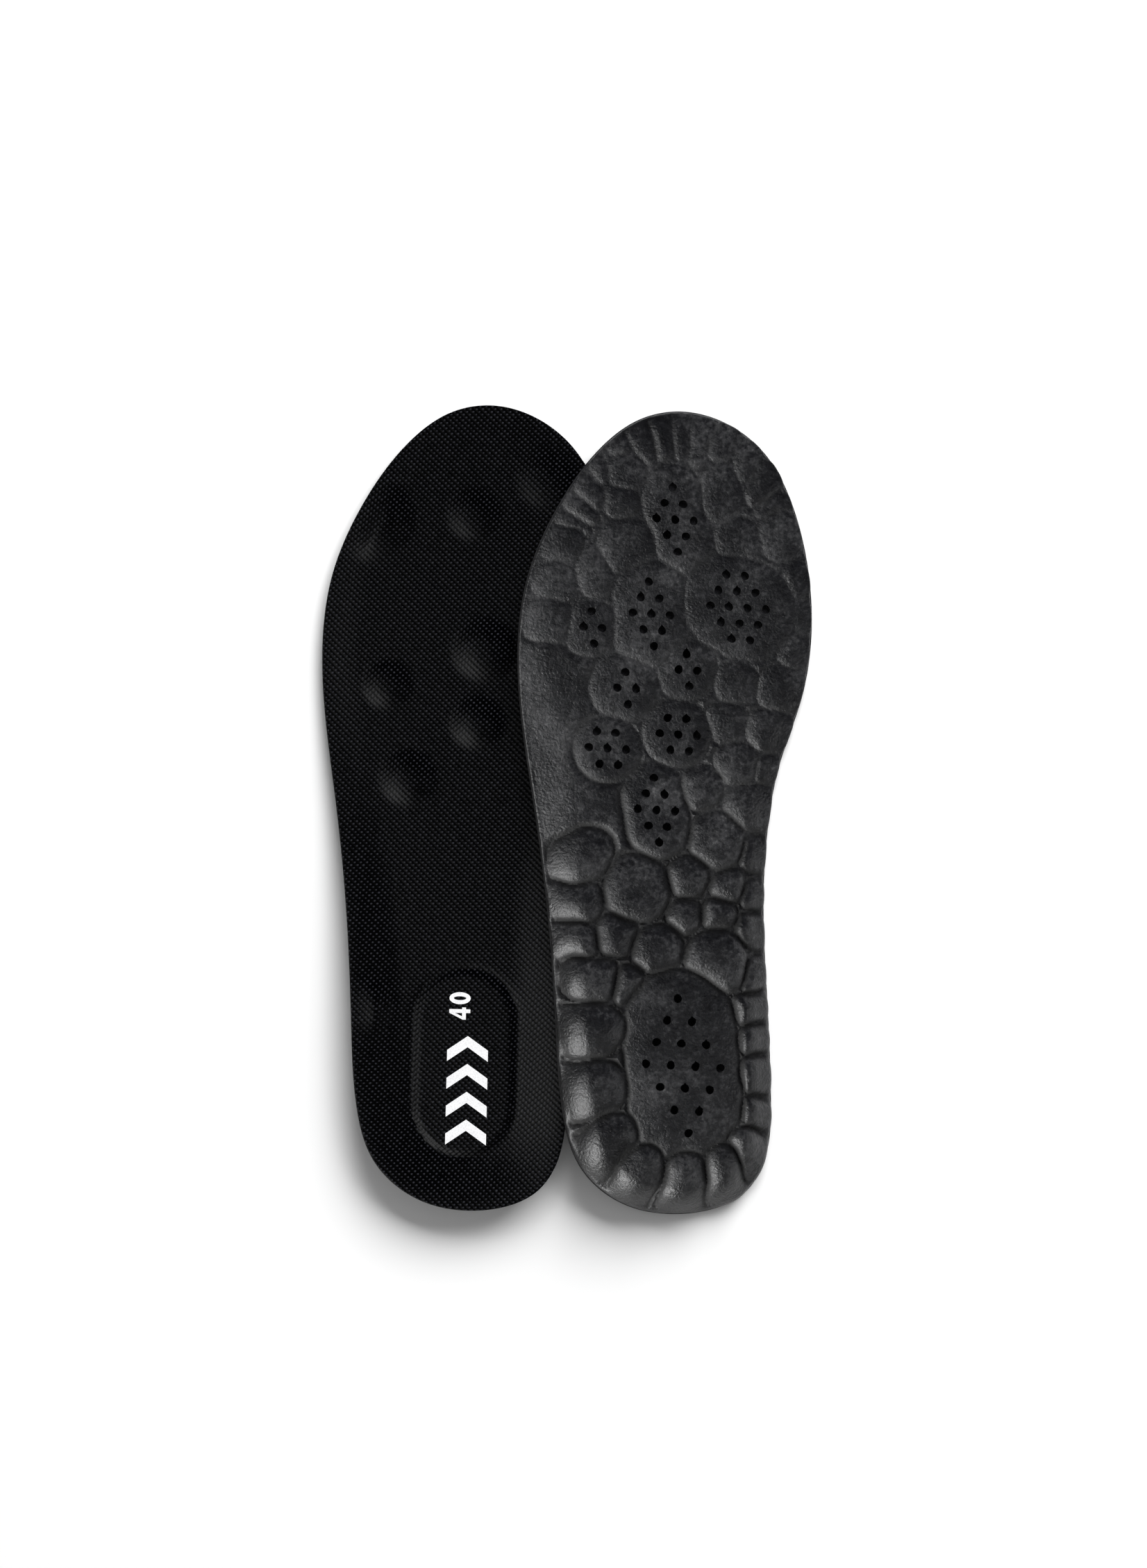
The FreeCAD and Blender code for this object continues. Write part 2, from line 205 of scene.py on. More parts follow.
# Domes under the cloth: centre, radius, height
DOMES = [
    ((0.1, 224.4), 9.4, 1.3), ((23.4, 236.2), 10.5, 1.0), ((4.4, 180.8), 11.5, 1.9),
    ((2.7, 157.2), 9.6, 1.8), ((-26.7, 168.9), 8.8, 1.5), ((-19.3, 138.8), 10.0, 1.7),
    ((-33.0, 222.5), 15.0, 2.2), ((-31.5, 64.5), 11.0, 2.0),
]
DOME_RISE = 1.5                                       # multiplies the heights above
DOME_POWER = 2.6                                      # how flat the top of a dome is
DOME_FADE = 8.0                                       # domes fade out this close to the edge
HEEL_PAD = ((1.2, 33.6), (1.2, 61.0), 15.7, 0.9)      # ends of its middle line, radius, height
PAD_EDGE = 2.6                                        # width of the step round the heel pad,
PAD_GROOVE, PAD_GROOVE_WIDTH = 0.5, 1.2               # and the groove at its foot
CLOTH_WAVE, CLOTH_WAVE_SIZE = 0.10, 16.0              # unevenness of the cloth
INSOLE_GAP = 0.25                                     # kept where one insole lies on the other
TABLE_GAP = 0.04                                      # and where a cloth lies on the table

DIGITS_AT = (-0.6, 65.9)
MARK_AT = (2.2, 38.5)
MARK_COUNT = 4
MARK_PITCH = 9.0
MARK_HALF_WIDTH = 6.6
MARK_DEPTH = 4.6
MARK_STROKE = 3.0
INK_RAISED = 0.7                                      # share of the ink's thickness above the cloth
PRINT_STEP, PRINT_GRID, PRINT_CLEAR = 0.45, 0.5, 0.25   # along the outline, inside it, between them

# Spacing of mesh points, by how much of the surface shows, and along the edge
FINE, MEDIUM, HIDDEN, INLAY, COARSE = 0.62, 1.15, 1.6, 2.4, 3.0
EDGE_STEP = 0.8
ROW_STEP = 0.866                                      # between rows of points, over their spacing

# Depths inside the outline of the rings of points of each piece
CLOTH_RINGS = [0.0, 0.04, 0.1, 0.2, 0.35, 0.8]
FILM_RINGS = [0.12, 0.6]
INLAY_RINGS = [FOAM_INSET, FOAM_INSET + 0.4]
UNDERSIDE_RINGS = [0.45, 0.55, 0.7, 0.9, 1.2, 1.6, 2.1]
BASE_TOP_RINGS = [0.45, 1.5, FOAM_INSET - 0.15, FOAM_INSET + 0.15]
CLOTH_ROUNDING, INLAY_ROUNDING, BASE_ROUNDING = 0.34, 0.2, 0.7


# ---------------------------------------------------------------- profiles and the outline
def along(stations, at):
    """Values at places on a list of (place, value) stations, joined by smooth cubics."""
    places = np.array([p for p, _ in stations], float)
    values = np.array([v for _, v in stations], float)
    slopes = np.zeros(len(places))
    slopes[1:-1] = (values[2:] - values[:-2]) / (places[2:] - places[:-2])
    at = np.clip(at, places[0], places[-1])
    i = np.clip(np.searchsorted(places, at, side="right") - 1, 0, len(places) - 2)
    run = places[i + 1] - places[i]
    t = (at - places[i]) / run
    return ((2 * t**3 - 3 * t**2 + 1) * values[i] + (t**3 - 2 * t**2 + t) * run * slopes[i]
            + (3 * t**2 - 2 * t**3) * values[i + 1] + (t**3 - t**2) * run * slopes[i + 1])


def closed_curve(points, step):
    """Points every step along a smooth closed cubic through some points."""
    points = np.array(points, float)
    count = len(points)
    gaps = np.linalg.norm(np.roll(points, -1, 0) - points, axis=1)
    before = np.roll(gaps, 1)
    system = np.zeros((count, count))
    for i in range(count):
        system[i, i - 1] += before[i]
        system[i, i] += 2 * (before[i] + gaps[i])
        system[i, (i + 1) % count] += gaps[i]
    ahead = (np.roll(points, -1, 0) - points) / gaps[:, None]
    behind = (points - np.roll(points, 1, 0)) / before[:, None]
    bend = np.linalg.solve(system, 6 * (ahead - behind))
    pieces = []
    for i in range(count):
        j = (i + 1) % count
        gap = gaps[i]
        t = np.linspace(0, gap, 40, endpoint=False)[:, None]
        pieces.append(bend[i] * (gap - t)**3 / (6 * gap) + bend[j] * t**3 / (6 * gap)
                      + (points[i] / gap - bend[i] * gap / 6) * (gap - t)
                      + (points[j] / gap - bend[j] * gap / 6) * t)
    dense = np.concatenate(pieces)
    closed = np.vstack([dense, dense[:1]])
    length = np.concatenate([[0], np.cumsum(np.linalg.norm(np.diff(closed, axis=0), axis=1))])
    places = np.linspace(0, length[-1], int(length[-1] / step), endpoint=False)
    return np.column_stack([np.interp(places, length, closed[:, k]) for k in (0, 1)])


def inward(loop):
    """Unit normals that point into a clockwise loop."""
    run = np.roll(loop, -1, 0) - np.roll(loop, 1, 0)
    normal = np.column_stack([run[:, 1], -run[:, 0]])
    return normal / np.linalg.norm(normal, axis=1)[:, None]


RIM = closed_curve(OUTLINE, EDGE_STEP)
RIM_IN = inward(RIM)
RIM_TREE = kdtree.KDTree(len(RIM))
for index, (rim_x, rim_y) in enumerate(RIM):
    RIM_TREE.insert((rim_x, rim_y, 0), index)
RIM_TREE.balance()


def ring(depth):
    """The outline moved inwards by a depth."""
    return RIM + RIM_IN * depth


def edge_distance(points):
    """Distance from the outline, positive inside it."""
    near = np.array([RIM_TREE.find((x, y, 0))[1] for x, y in points])
    best = np.full(len(points), np.inf)
    for shift in (-1, 0):
        a = RIM[(near + shift) % len(RIM)]
        b = RIM[(near + shift + 1) % len(RIM)]
        run = b - a
        t = np.clip(((points - a) * run).sum(1) / (run * run).sum(1), 0, 1)[:, None]
        best = np.minimum(best, np.linalg.norm(points - a - run * t, axis=1))
    side = ((points - RIM[near]) * RIM_IN[near]).sum(1)
    return np.where(side >= 0, best, -best)


def smooth_noise(points, scale, seed):
    """Soft noise from -1 to 1 over plan points; scale is its feature size."""
    shift = Vector((seed * 17.3, seed * 5.1, seed * 9.7))
    return np.array([noise.noise(Vector((x / scale, y / scale, 0)) + shift) for x, y in points])


def ease(value, start, run):
    """0 up to a start, then a straight rise to 1 over a run."""
    return np.clip((value - start) / run, 0, 1)


# ---------------------------------------------------------------- the surfaces of an insole
def cloth_height(points, depth):
    """The foot side, at points that lie a depth inside the outline, with its domes and heel pad."""
    x, y = points[:, 0], points[:, 1]
    t = np.clip(1 - depth / along(CUP_WIDTH, y), 0, 1)
    core = along(CORE_HEIGHT, y)
    height = core + (along(RIM_HEIGHT, y) - core) * t * t * (3 - 2 * t)
    inner = np.clip(depth / DOME_FADE, 0, 1)**2
    for (cx, cy), radius, rise in DOMES:
        r = np.clip(np.hypot(x - cx, y - cy) / radius, 0, 1)
        height = height + DOME_RISE * rise * inner * (1 - r**DOME_POWER)**2
    (ax, ay), (_, by), radius, rise = HEEL_PAD
    reach = np.hypot(x - ax, y - np.clip(y, ay, by)) - radius
    step = np.clip(0.5 - reach / PAD_EDGE, 0, 1)
    foot = np.exp(-((reach - PAD_GROOVE_WIDTH) / PAD_GROOVE_WIDTH)**2)
    height = height + rise * step * step * (3 - 2 * step) - PAD_GROOVE * foot
    return height + CLOTH_WAVE * smooth_noise(points, CLOTH_WAVE_SIZE, seed=1)


def sole_surface(points, depth):
    """The smooth underside that the cells stand on."""
    x, y = points[:, 0], points[:, 1]
    medial = 0.5 * (1 + np.tanh(x / SIDE_BLEND))
    flank = medial * along(MEDIAL_FLANK, y) + (1 - medial) * along(LATERAL_FLANK, y)
    t = np.clip(1 - depth / flank, 0, 1)
    rise = along(RIM_HEIGHT, y) - EDGE
    lift = (rise + SOLE_CROWN) * t**along(FLANK_POWER, y) - SOLE_CROWN
    return 0.5 * (lift + np.sqrt(lift * lift + SOLE_CORNER)) - SOLE_REST


def nearest_on(points, places):
    """The nearest point on a chain of places to each of some points, and how far off it is."""
    chain = np.array(places if len(places) > 1 else places * 2, float)
    best = np.full(len(points), np.inf)
    nearest = np.zeros_like(points)
    for a, b in zip(chain[:-1], chain[1:]):
        run = b - a
        t = np.clip((points - a) @ run / max(run @ run, 1e-9), 0, 1)
        foot = a + t[:, None] * run
        gap = np.linalg.norm(points - foot, axis=1)
        closer = gap < best
        best[closer] = gap[closer]
        nearest[closer] = foot[closer]
    return nearest, best


def cell_relief(points):
    """How deep the underside lies below the crowns of its cells, from 0 to 1, and how far inside a
    cell's crease each point is, which is below 0 on the ground between cells."""
    warp = [smooth_noise(points, CREASE_WARP_SIZE, seed) for seed in (2, 3)]
    warped = points + CREASE_WARP * np.column_stack(warp)
    feet, powers, gaps = [], [], []
    for places, claim, _, _ in CELLS:
        foot, gap = nearest_on(warped, places)
        reach = claim * STONE_REACH
        feet.append(foot)
        powers.append(gap**2 - reach**2)
        gaps.append(reach - gap)
    feet, powers, gaps = np.array(feet), np.array(powers), np.array(gaps)
    stones = gaps[RING_CELLS].max(0)                  # the ring's stones lie over the heel pad
    powers[HEEL_CELL, stones > 0] = np.inf
    owner = powers.argmin(0)
    rows = np.arange(len(points))
    apart = np.linalg.norm(feet - feet[owner, rows][None], axis=2)
    crease = (powers - powers[owner, rows][None]) / (2 * np.maximum(apart, 1e-6))
    crease[HEEL_CELL, stones > 0] = FAR
    on_pad = owner == HEEL_CELL
    crease[RING_CELLS, on_pad] = -gaps[RING_CELLS, on_pad]
    crease[owner, rows] = gaps[owner, rows]
    to_crease = -np.log(np.exp(-np.clip(crease, -20, FAR) * CREASE_BLEND).sum(0)) / CREASE_BLEND
    rounding = np.array([cell[2] for cell in CELLS])[owner]
    share = np.array([cell[3] for cell in CELLS])[owner]
    share = share * (1 - SHALLOWER * np.abs(np.sin(5.0 * owner)) * ease(points[:, 1], 130, 20))
    t = np.clip(to_crease / rounding, 0, 1)
    relief = 1 - share * (1 - (1 - t)**CROWN_POWER)
    away = np.clip(-to_crease / GROUND_RUN, 0, 1)
    ground = 1 - (1 - GROUND) * away * away * (3 - 2 * away)
    return np.where(to_crease > 0, relief, ground), to_crease


def underside(points, depth):
    """Points of the moulded underside: the smooth surface, sunk at the creases and swollen past
    the medial edge."""
    x, y = points[:, 0], points[:, 1]
    base = sole_surface(points, depth)
    slopes = []
    for shift in ((SLOPE_STEP, 0), (0, SLOPE_STEP)):
        moved = points + np.array(shift)
        slopes.append((sole_surface(moved, edge_distance(moved)) - base) / SLOPE_STEP)
    normal = np.column_stack([slopes[0], slopes[1], -np.ones(len(points))])
    normal /= np.linalg.norm(normal, axis=1)[:, None]
    normal[:, :2] *= SINK_SLANT
    normal /= np.linalg.norm(normal, axis=1)[:, None]
    relief, to_crease = cell_relief(points)
    groove = along(GROOVE, y) * np.exp(-(to_crease / GROOVE_WIDTH)**2)
    fade = ease(depth, 0.0, EDGE_FADE)
    fade = (EDGE_SHARE + (1 - EDGE_SHARE) * fade * (2 - fade)) * ease(depth, 0.4, 1.2)
    sink = along(CREASE_DEPTH, y) * relief * fade + groove * ease(depth, 0.6, 1.6)
    sink = sink + SKIN_WAVE * smooth_noise(points, SKIN_WAVE_SIZE, seed=4)
    solid = np.column_stack([points, base]) - normal * sink[:, None]
    swell = EDGE_SWELL * (1 - relief) * np.exp(-((depth - SWELL_DEPTH) / SWELL_WIDTH)**2)
    swell = swell * ease(x, 12, 12)
    slant = normal[:, :2]
    length = np.maximum(np.linalg.norm(slant, axis=1), 1e-6)
    solid[:, :2] += slant / length[:, None] * swell[:, None]
    return solid


def rounded(depth, radius):
    """How far a surface falls back at its outer edge to round it."""
    inner = np.clip(radius - depth, 0, radius)
    return radius - np.sqrt(np.clip(radius * radius - inner * inner, 0, None))


class Place:
    """Where an insole lies in the row frame, and which way up."""

    def __init__(self, name, at, turn, face_up):
        self.name = name
        self.at = np.array(at)
        self.turn = math.radians(turn)
        self.face_up = face_up
        medial = RIM[RIM[:, 0] > 10]
        self.medial_x, self.medial_y = medial[np.argsort(medial[:, 1])].T

    def plan(self, points):
        """Plan points in the row frame, still in millimetres."""
        c, s = math.cos(self.turn), math.sin(self.turn)
        return points @ np.array([[c, s], [-s, c]]) + self.at

    def shape(self, plan):
        """Row-frame plan points taken back to the shape frame."""
        c, s = math.cos(self.turn), math.sin(self.turn)
        return (plan - self.at) @ np.array([[c, -s], [s, c]])

    def sole_level(self, points):
        """Height of the sole plane of an insole that lies face down."""
        y = points[:, 1]
        medial = np.interp(y, self.medial_y, self.medial_x)
        lean = np.tan(np.radians(along(LEAN, y)))
        return along(RIM_HEIGHT, y) + FLOOR_GAP + (medial - points[:, 0]) * lean

    def cloth_level(self, points, depth):
        """Height of the foot side in the row frame."""
        height = cloth_height(points, depth)
        if self.face_up:
            return height
        level = self.sole_level(points) - height
        below = LEFT.shape(self.plan(points))
        below_depth = edge_distance(below)
        on_left = cloth_height(below, np.maximum(below_depth, 0)) + INSOLE_GAP
        return np.maximum(level, np.where(below_depth > -0.5, on_left, TABLE_GAP))

    def put(self, solid):
        """Shape-frame points, in millimetres, as row-frame points in metres."""
        level = solid[:, 2] if self.face_up else self.sole_level(solid[:, :2]) - solid[:, 2]
        return np.column_stack([self.plan(solid[:, :2]), level]) * MM


LEFT = Place("left", LEFT_AT, LEFT_TURN, True)
RIGHT = Place("right", RIGHT_AT, RIGHT_TURN, False)


# ---------------------------------------------------------------- meshes
def triangulate(loops, steps, inside, spacing, reach):
    """Plan points and triangles that fill a set of closed loops.

    loops holds the outer loop first, then the holes; steps are further loops of points to keep;
    inside gives a mask of the grid points to use; reach is the low and high corner of the grid."""
    points, edges = [], []
    for loop in loops + steps:
        start, count = len(points), len(loop)
        points.extend(loop)
        edges.extend((start + i, start + (i + 1) % count) for i in range(count))
    (low_x, low_y), (high_x, high_y) = reach
    grid = []
    for row, y in enumerate(np.arange(low_y, high_y, spacing * ROW_STEP)):
        xs = np.arange(low_x + (spacing / 2 if row % 2 else 0), high_x, spacing)
        grid.append(np.column_stack([xs, np.full(len(xs), y)]))
    grid = np.concatenate(grid)
    grid = grid[inside(grid)]
    points.extend(grid)
    points = np.array(points)
    out = geometry.delaunay_2d_cdt([Vector(p) for p in points.tolist()], edges, [], 1, 1e-6)
    back = [ids[0] for ids in out[3]]
    faces = np.array([[back[v] for v in face] for face in out[2]])
    middles = points[faces].mean(1)
    keep = np.ones(len(faces), bool)
    for hole in loops[1:]:
        centre = hole.mean(0)
        radius = np.linalg.norm(hole - centre, axis=1).max()
        near = np.linalg.norm(middles - centre, axis=1) < radius
        keep[near] &= ~within(hole, middles[near])
    return points, faces[keep]


def within(loop, points):
    """Which points are inside a loop."""
    inside = np.zeros(len(points), bool)
    for (ax, ay), (bx, by) in zip(loop, np.roll(loop, -1, 0)):
        if ay == by:
            continue
        crosses = (ay > points[:, 1]) != (by > points[:, 1])
        inside ^= crosses & (points[:, 0] < ax + (bx - ax) * (points[:, 1] - ay) / (by - ay))
    return inside


def insole_plan(depths, spacing, holes=()):
    """Plan points, triangles and depths of a whole insole, with rings of points at some depths."""
    loops = [ring(depths[0])] + list(holes)
    steps = [ring(depth) for depth in depths[1:]]
    limit = depths[-1] + 0.6 * spacing

    def inside(grid):
        mask = edge_distance(grid) > limit
        for hole in holes:
            gap = np.linalg.norm(grid - hole.mean(0), axis=1)
            mask &= gap > VENT_RADIUS + 0.45 * spacing
        return mask

    points, faces = triangulate(loops, steps, inside, spacing, (RIM.min(0), RIM.max(0)))
    depth = edge_distance(points)
    first = len(loops[0])
    depth[:first] = depths[0]
    start = first + sum(len(hole) for hole in holes)
    for value in depths[1:]:
        depth[start:start + first] = value
        start += first
    return points, faces, np.maximum(depth, 0)


def add_mesh(name, points, faces, material, smooth_angle=40):
    """A mesh object from row-frame points in metres."""
    used = np.unique(np.concatenate([np.asarray(face, int) for face in faces]))
    renumbered = np.zeros(len(points), int)
    renumbered[used] = np.arange(len(used))
    mesh = bpy.data.meshes.new(name)
    mesh.from_pydata(points[used].tolist(), [], [renumbered[list(face)].tolist() for face in faces])
    mesh.validate()
    mesh.update()
    piece = bpy.data.objects.new(name, mesh)
    bpy.context.scene.collection.objects.link(piece)
    mesh.materials.append(material)
    mesh.shade_smooth()
    mesh.set_sharp_from_angle(angle=math.radians(smooth_angle))
    return piece


def bridge(first, second, count, flip):
    """Quads between two closed loops of vertices that start at first and second."""
    quads = []
    for i in range(count):
        j = (i + 1) % count
        quad = (first + i, first + j, second + j, second + i)
        quads.append(quad[::-1] if flip else quad)
    return quads


def layer(place, name, depths, spacing, top, bottom, rounding, material):
    """A closed slice of an insole, from top to bottom below the foot side, with rounded edges."""
    points, faces, depth = insole_plan(depths, spacing)
    level = place.cloth_level(points, depth)
    outward = 1 if place.face_up else -1
    fall = rounded(depth - depths[0], rounding)
    plan = place.plan(points)
    upper = np.column_stack([plan, level - outward * (top + fall)])
    lower = np.column_stack([plan, level - outward * (bottom - fall)])
    count = len(points)
    if not place.face_up:
        faces = faces[:, ::-1]
    sides = faces.tolist() + (faces[:, ::-1] + count).tolist()
    walls = bridge(0, count, len(RIM), not place.face_up)
    return add_mesh(name, np.vstack([upper, lower]) * MM, sides + walls, material)


def vent_places():
    """The centre of every vent."""
    places = []
    for (cx, cy), rows, pitch, row_step in VENT_GROUPS:
        for r, count in enumerate(rows):
            down = r - (len(rows) - 1) / 2
            for c in range(count):
                across = c - (count - 1) / 2
                places.append((cx + across * pitch + down * row_step * COLUMN_LEAN,
                               cy - down * row_step + across * pitch * ROW_SLOPE))
    return places


def vent_loop(centre, index):
    """The mouth of one vent, a little out of round."""
    angles = np.linspace(0, -2 * math.pi, 16, endpoint=False)
    wobble = 0.06 * np.sin(2 * angles + index) + 0.04 * np.sin(3 * angles + 2 * index)
    radius = VENT_RADIUS * (1.06 + wobble)
    if index % 3 == 0:
        radius[12] += 0.55                            # a nick at the toe side of every third vent
    return np.array(centre) + np.column_stack([np.cos(angles), np.sin(angles)]) * radius[:, None]


def moulded_base(place, material):
    """The foam moulding: cobbled underside, vents, pocket for the inlay and rounded outer edge."""
    holes = [vent_loop(centre, i) for i, centre in enumerate(vent_places())]
    spacing = MEDIUM if place.face_up else FINE
    low_plan, low_faces, low_depth = insole_plan(UNDERSIDE_RINGS, spacing, holes)
    solid = underside(low_plan, low_depth)
    solid[:, 2] += rounded(low_depth - UNDERSIDE_RINGS[0], BASE_ROUNDING)
    low = place.put(solid) / MM

    top_plan, top_faces, top_depth = insole_plan(BASE_TOP_RINGS, COARSE, holes)
    level = place.cloth_level(top_plan, top_depth)
    sunk = np.where(top_depth > FOAM_INSET, CLOTH + FILM + FOAM, CLOTH + FILM)
    outward = 1 if place.face_up else -1
    top = np.column_stack([place.plan(top_plan), level - outward * sunk])

    count = len(low)
    loops = [(0, len(RIM))]
    start = len(RIM)
    for hole in holes:
        loops.append((start, len(hole)))
        start += len(hole)
    walls = []
    for i, (first, size) in enumerate(loops):
        walls += bridge(first, count + first, size, (i == 0) == place.face_up)
    if place.face_up:
        low_faces = low_faces[:, ::-1]
    else:
        top_faces = top_faces[:, ::-1]
    sides = low_faces.tolist() + (top_faces + count).tolist()
    solid = np.vstack([low, top]) * MM
    return add_mesh(f"{place.name}_base_moulding", solid, sides + walls, material)


def densify(loop, step):
    """A polygon with a point every step along its sides."""
    points = []
    for a, b in zip(loop, np.roll(loop, -1, 0)):
        count = max(1, int(np.linalg.norm(b - a) / step))
        points.extend(a + (b - a) * k / count for k in range(count))
    return np.array(points)


def wound(loop, direction):
    """A closed polygon that runs counterclockwise for a direction of 1 and clockwise for -1."""
    x, y = loop[:, 0], loop[:, 1]
    area = (x * np.roll(y, -1) - np.roll(x, -1) * y).sum()
    return loop if area * direction > 0 else loop[::-1]


def print_shape(place, outer, holes):
    """One printed shape, laid on the cloth: vertices and faces of a thin closed slice."""
    outer = densify(wound(np.array(outer, float), 1), PRINT_STEP)
    holes = [densify(wound(np.array(hole, float), -1), PRINT_STEP) for hole in holes]
    loops = [outer] + holes

    def inside(grid):
        mask = within(outer, grid)
        for loop in loops:
            gap = np.linalg.norm(grid[:, None] - loop[None], axis=2).min(1)
            mask &= gap > PRINT_CLEAR
        for hole in holes:
            mask &= ~within(hole, grid)
        return mask

    points, faces = triangulate(loops, [], inside, PRINT_GRID, (outer.min(0), outer.max(0)))
    level = place.cloth_level(points, edge_distance(points))
    outward = 1 if place.face_up else -1
    plan = place.plan(points)
    count = len(points)
    upper = np.column_stack([plan, level + outward * INK * INK_RAISED])
    lower = np.column_stack([plan, level - outward * INK])
    first, second, third = points[faces].transpose(1, 0, 2)
    turns = np.cross(second - first, third - first)
    faces = np.where((turns > 0)[:, None], faces, faces[:, ::-1])
    if not place.face_up:
        faces = faces[:, ::-1]
    quads = []
    start = 0
    for loop in loops:
        quads += bridge(start, count + start, len(loop), place.face_up)
        start += len(loop)
    sides = faces.tolist() + (faces[:, ::-1] + count).tolist()
    return np.vstack([upper, lower]), sides + quads


def print_piece(place, name, shapes, material):
    """Several printed shapes as one piece."""
    points, faces = [], []
    for outer, holes in shapes:
        start = sum(len(part) for part in points)
        shape_points, shape_faces = print_shape(place, outer, holes)
        points.append(shape_points)
        faces += [[v + start for v in face] for face in shape_faces]
    return add_mesh(name, np.vstack(points) * MM, faces, material)


def oval(cx, cy, rx, ry):
    """A polygon round an ellipse."""
    angles = np.linspace(0, 2 * math.pi, 26, endpoint=False)
    return np.column_stack([cx + rx * np.cos(angles), cy + ry * np.sin(angles)])


def digit_shapes(side):
    """The size number 40, reading from heel to toe; its top is lateral for a side of 1 and medial
    for -1."""
    cx, cy = DIGITS_AT
    four_y, nought_y = cy - 2.55, cy + 2.35
    four = [(-3.4, 0.15), (-3.4, 1.35), (0.75, 1.35), (0.75, 1.95), (2.0, 1.95), (2.0, 1.35),
            (3.4, 1.35), (3.4, 0.15), (2.0, 0.15), (2.0, -2.0), (0.95, -2.0)]
    counter = [(0.75, 0.15), (-1.5, 0.15), (0.75, -0.95)]
    four = [(cx + side * x, four_y + y) for x, y in four]
    counter = [(cx + side * x, four_y + y) for x, y in counter]
    return [(four, [counter]), (oval(cx, nought_y, 3.45, 1.95), [oval(cx, nought_y, 2.0, 0.62)])]


def chevron_shapes():
    """A plain row of chevrons that point to the toe."""
    cx, cy = MARK_AT
    low_x, high_x = cx - MARK_HALF_WIDTH, cx + MARK_HALF_WIDTH
    half = MARK_STROKE * 0.6
    shapes = []
    for i in range(MARK_COUNT):
        tip = cy + (i - (MARK_COUNT - 1) / 2) * MARK_PITCH + MARK_DEPTH / 2
        foot = tip - MARK_DEPTH
        outer = [(cx, tip + half), (high_x, foot + half), (high_x, foot - half),
                 (cx, tip - half), (low_x, foot - half), (low_x, foot + half)]
        shapes.append((outer, []))
    return shapes


# ---------------------------------------------------------------- materials
class Nodes:
    """A material's node tree, with short calls to add and link nodes."""

    def __init__(self, name):
        self.material = bpy.data.materials.new(name)
        self.material.use_nodes = True
        self.tree = self.material.node_tree
        self.shader = self.tree.nodes["Principled BSDF"]
        self.place = self.add("ShaderNodeTexCoord").outputs["Object"]

    def add(self, kind, inputs=None, **settings):
        """A new node with some settings, and values or links for its inputs."""
        node = self.tree.nodes.new(kind)
        for key, value in settings.items():
            setattr(node, key, value)
        for key, value in (inputs or {}).items():
            if isinstance(value, bpy.types.NodeSocket):
                self.tree.links.new(value, node.inputs[key])
            else:
                node.inputs[key].default_value = value
        return node

    def math(self, operation, a, b=0.0, c=0.0):
        """The outcome of some arithmetic on values or links."""
        node = self.add("ShaderNodeMath", operation=operation)
        for socket, value in zip(node.inputs, (a, b, c)):
            if isinstance(value, bpy.types.NodeSocket):
                self.tree.links.new(value, socket)
            else:
                socket.default_value = value
        return node.outputs[0]

    def noise(self, size, detail=2.0, rough=0.5):
        """Noise whose features are about size metres across."""
        node = self.add("ShaderNodeTexNoise", {"Vector": self.place, "Scale": 1 / size,
                                               "Detail": detail, "Roughness": rough})
        return node.outputs["Fac"]

    def ramp(self, factor, stops):
        """Colours at places on a factor, with even blends between them."""
        node = self.add("ShaderNodeValToRGB", {"Fac": factor})
        ramp = node.color_ramp
        while len(ramp.elements) < len(stops):
            ramp.elements.new(0.5)
        for element, (position, colour) in zip(ramp.elements, stops):
            element.position = position
            element.color = (*colour, 1)
        return node.outputs["Color"]

    def bump(self, height, distance, strength=1.0):
        """A shading normal from a height; distance is in metres."""
        inputs = {"Height": height, "Distance": distance, "Strength": strength}
        return self.add("ShaderNodeBump", inputs).outputs["Normal"]

    def set(self, **inputs):
        """Values or links for the shader's own inputs."""
        for key, value in inputs.items():
            socket = self.shader.inputs[key.replace("_", " ")]
            if isinstance(value, bpy.types.NodeSocket):
                self.tree.links.new(value, socket)
            else:
                socket.default_value = value


def knit_cloth():
    """Near-black polyester knit: slanting rows of loops under a fuzz, with painted highlights on
    their peaks.
    """
    n = Nodes("knit_cloth")
    split = n.add("ShaderNodeSeparateXYZ", {"Vector": n.place})
    x, y = split.outputs[0], split.outputs[1]
    pitch = 0.0020
    one_way = n.math("ADD", x, y)
    other_way = n.math("SUBTRACT", x, n.math("MULTIPLY", y, 1.25))
    one_wave = n.math("SINE", n.math("MULTIPLY", one_way, 2 * math.pi / pitch))
    other_wave = n.math("SINE", n.math("MULTIPLY", other_way, 2 * math.pi / pitch))
    loops = n.math("MULTIPLY_ADD", n.math("ADD", one_wave, other_wave), 0.25, 0.5)
    fuzz = n.noise(0.0017, 4.0, 0.75)
    height = n.math("MULTIPLY_ADD", loops, 0.8, n.math("MULTIPLY", fuzz, 0.55))
    # painted highlight: the colour turns grey on the highest points of the loops and fuzz
    colour = n.ramp(height, [(0.70, (0.0001, 0.0001, 0.0002)), (0.86, (0.0004, 0.0005, 0.0010)),
                             (1.00, (0.0220, 0.0226, 0.0270))])
    n.set(Base_Color=colour, Roughness=n.math("MULTIPLY_ADD", fuzz, 0.20, 0.33),
          Normal=n.bump(height, 0.00024, 0.8), Specular_IOR_Level=0.05)
    return n.material


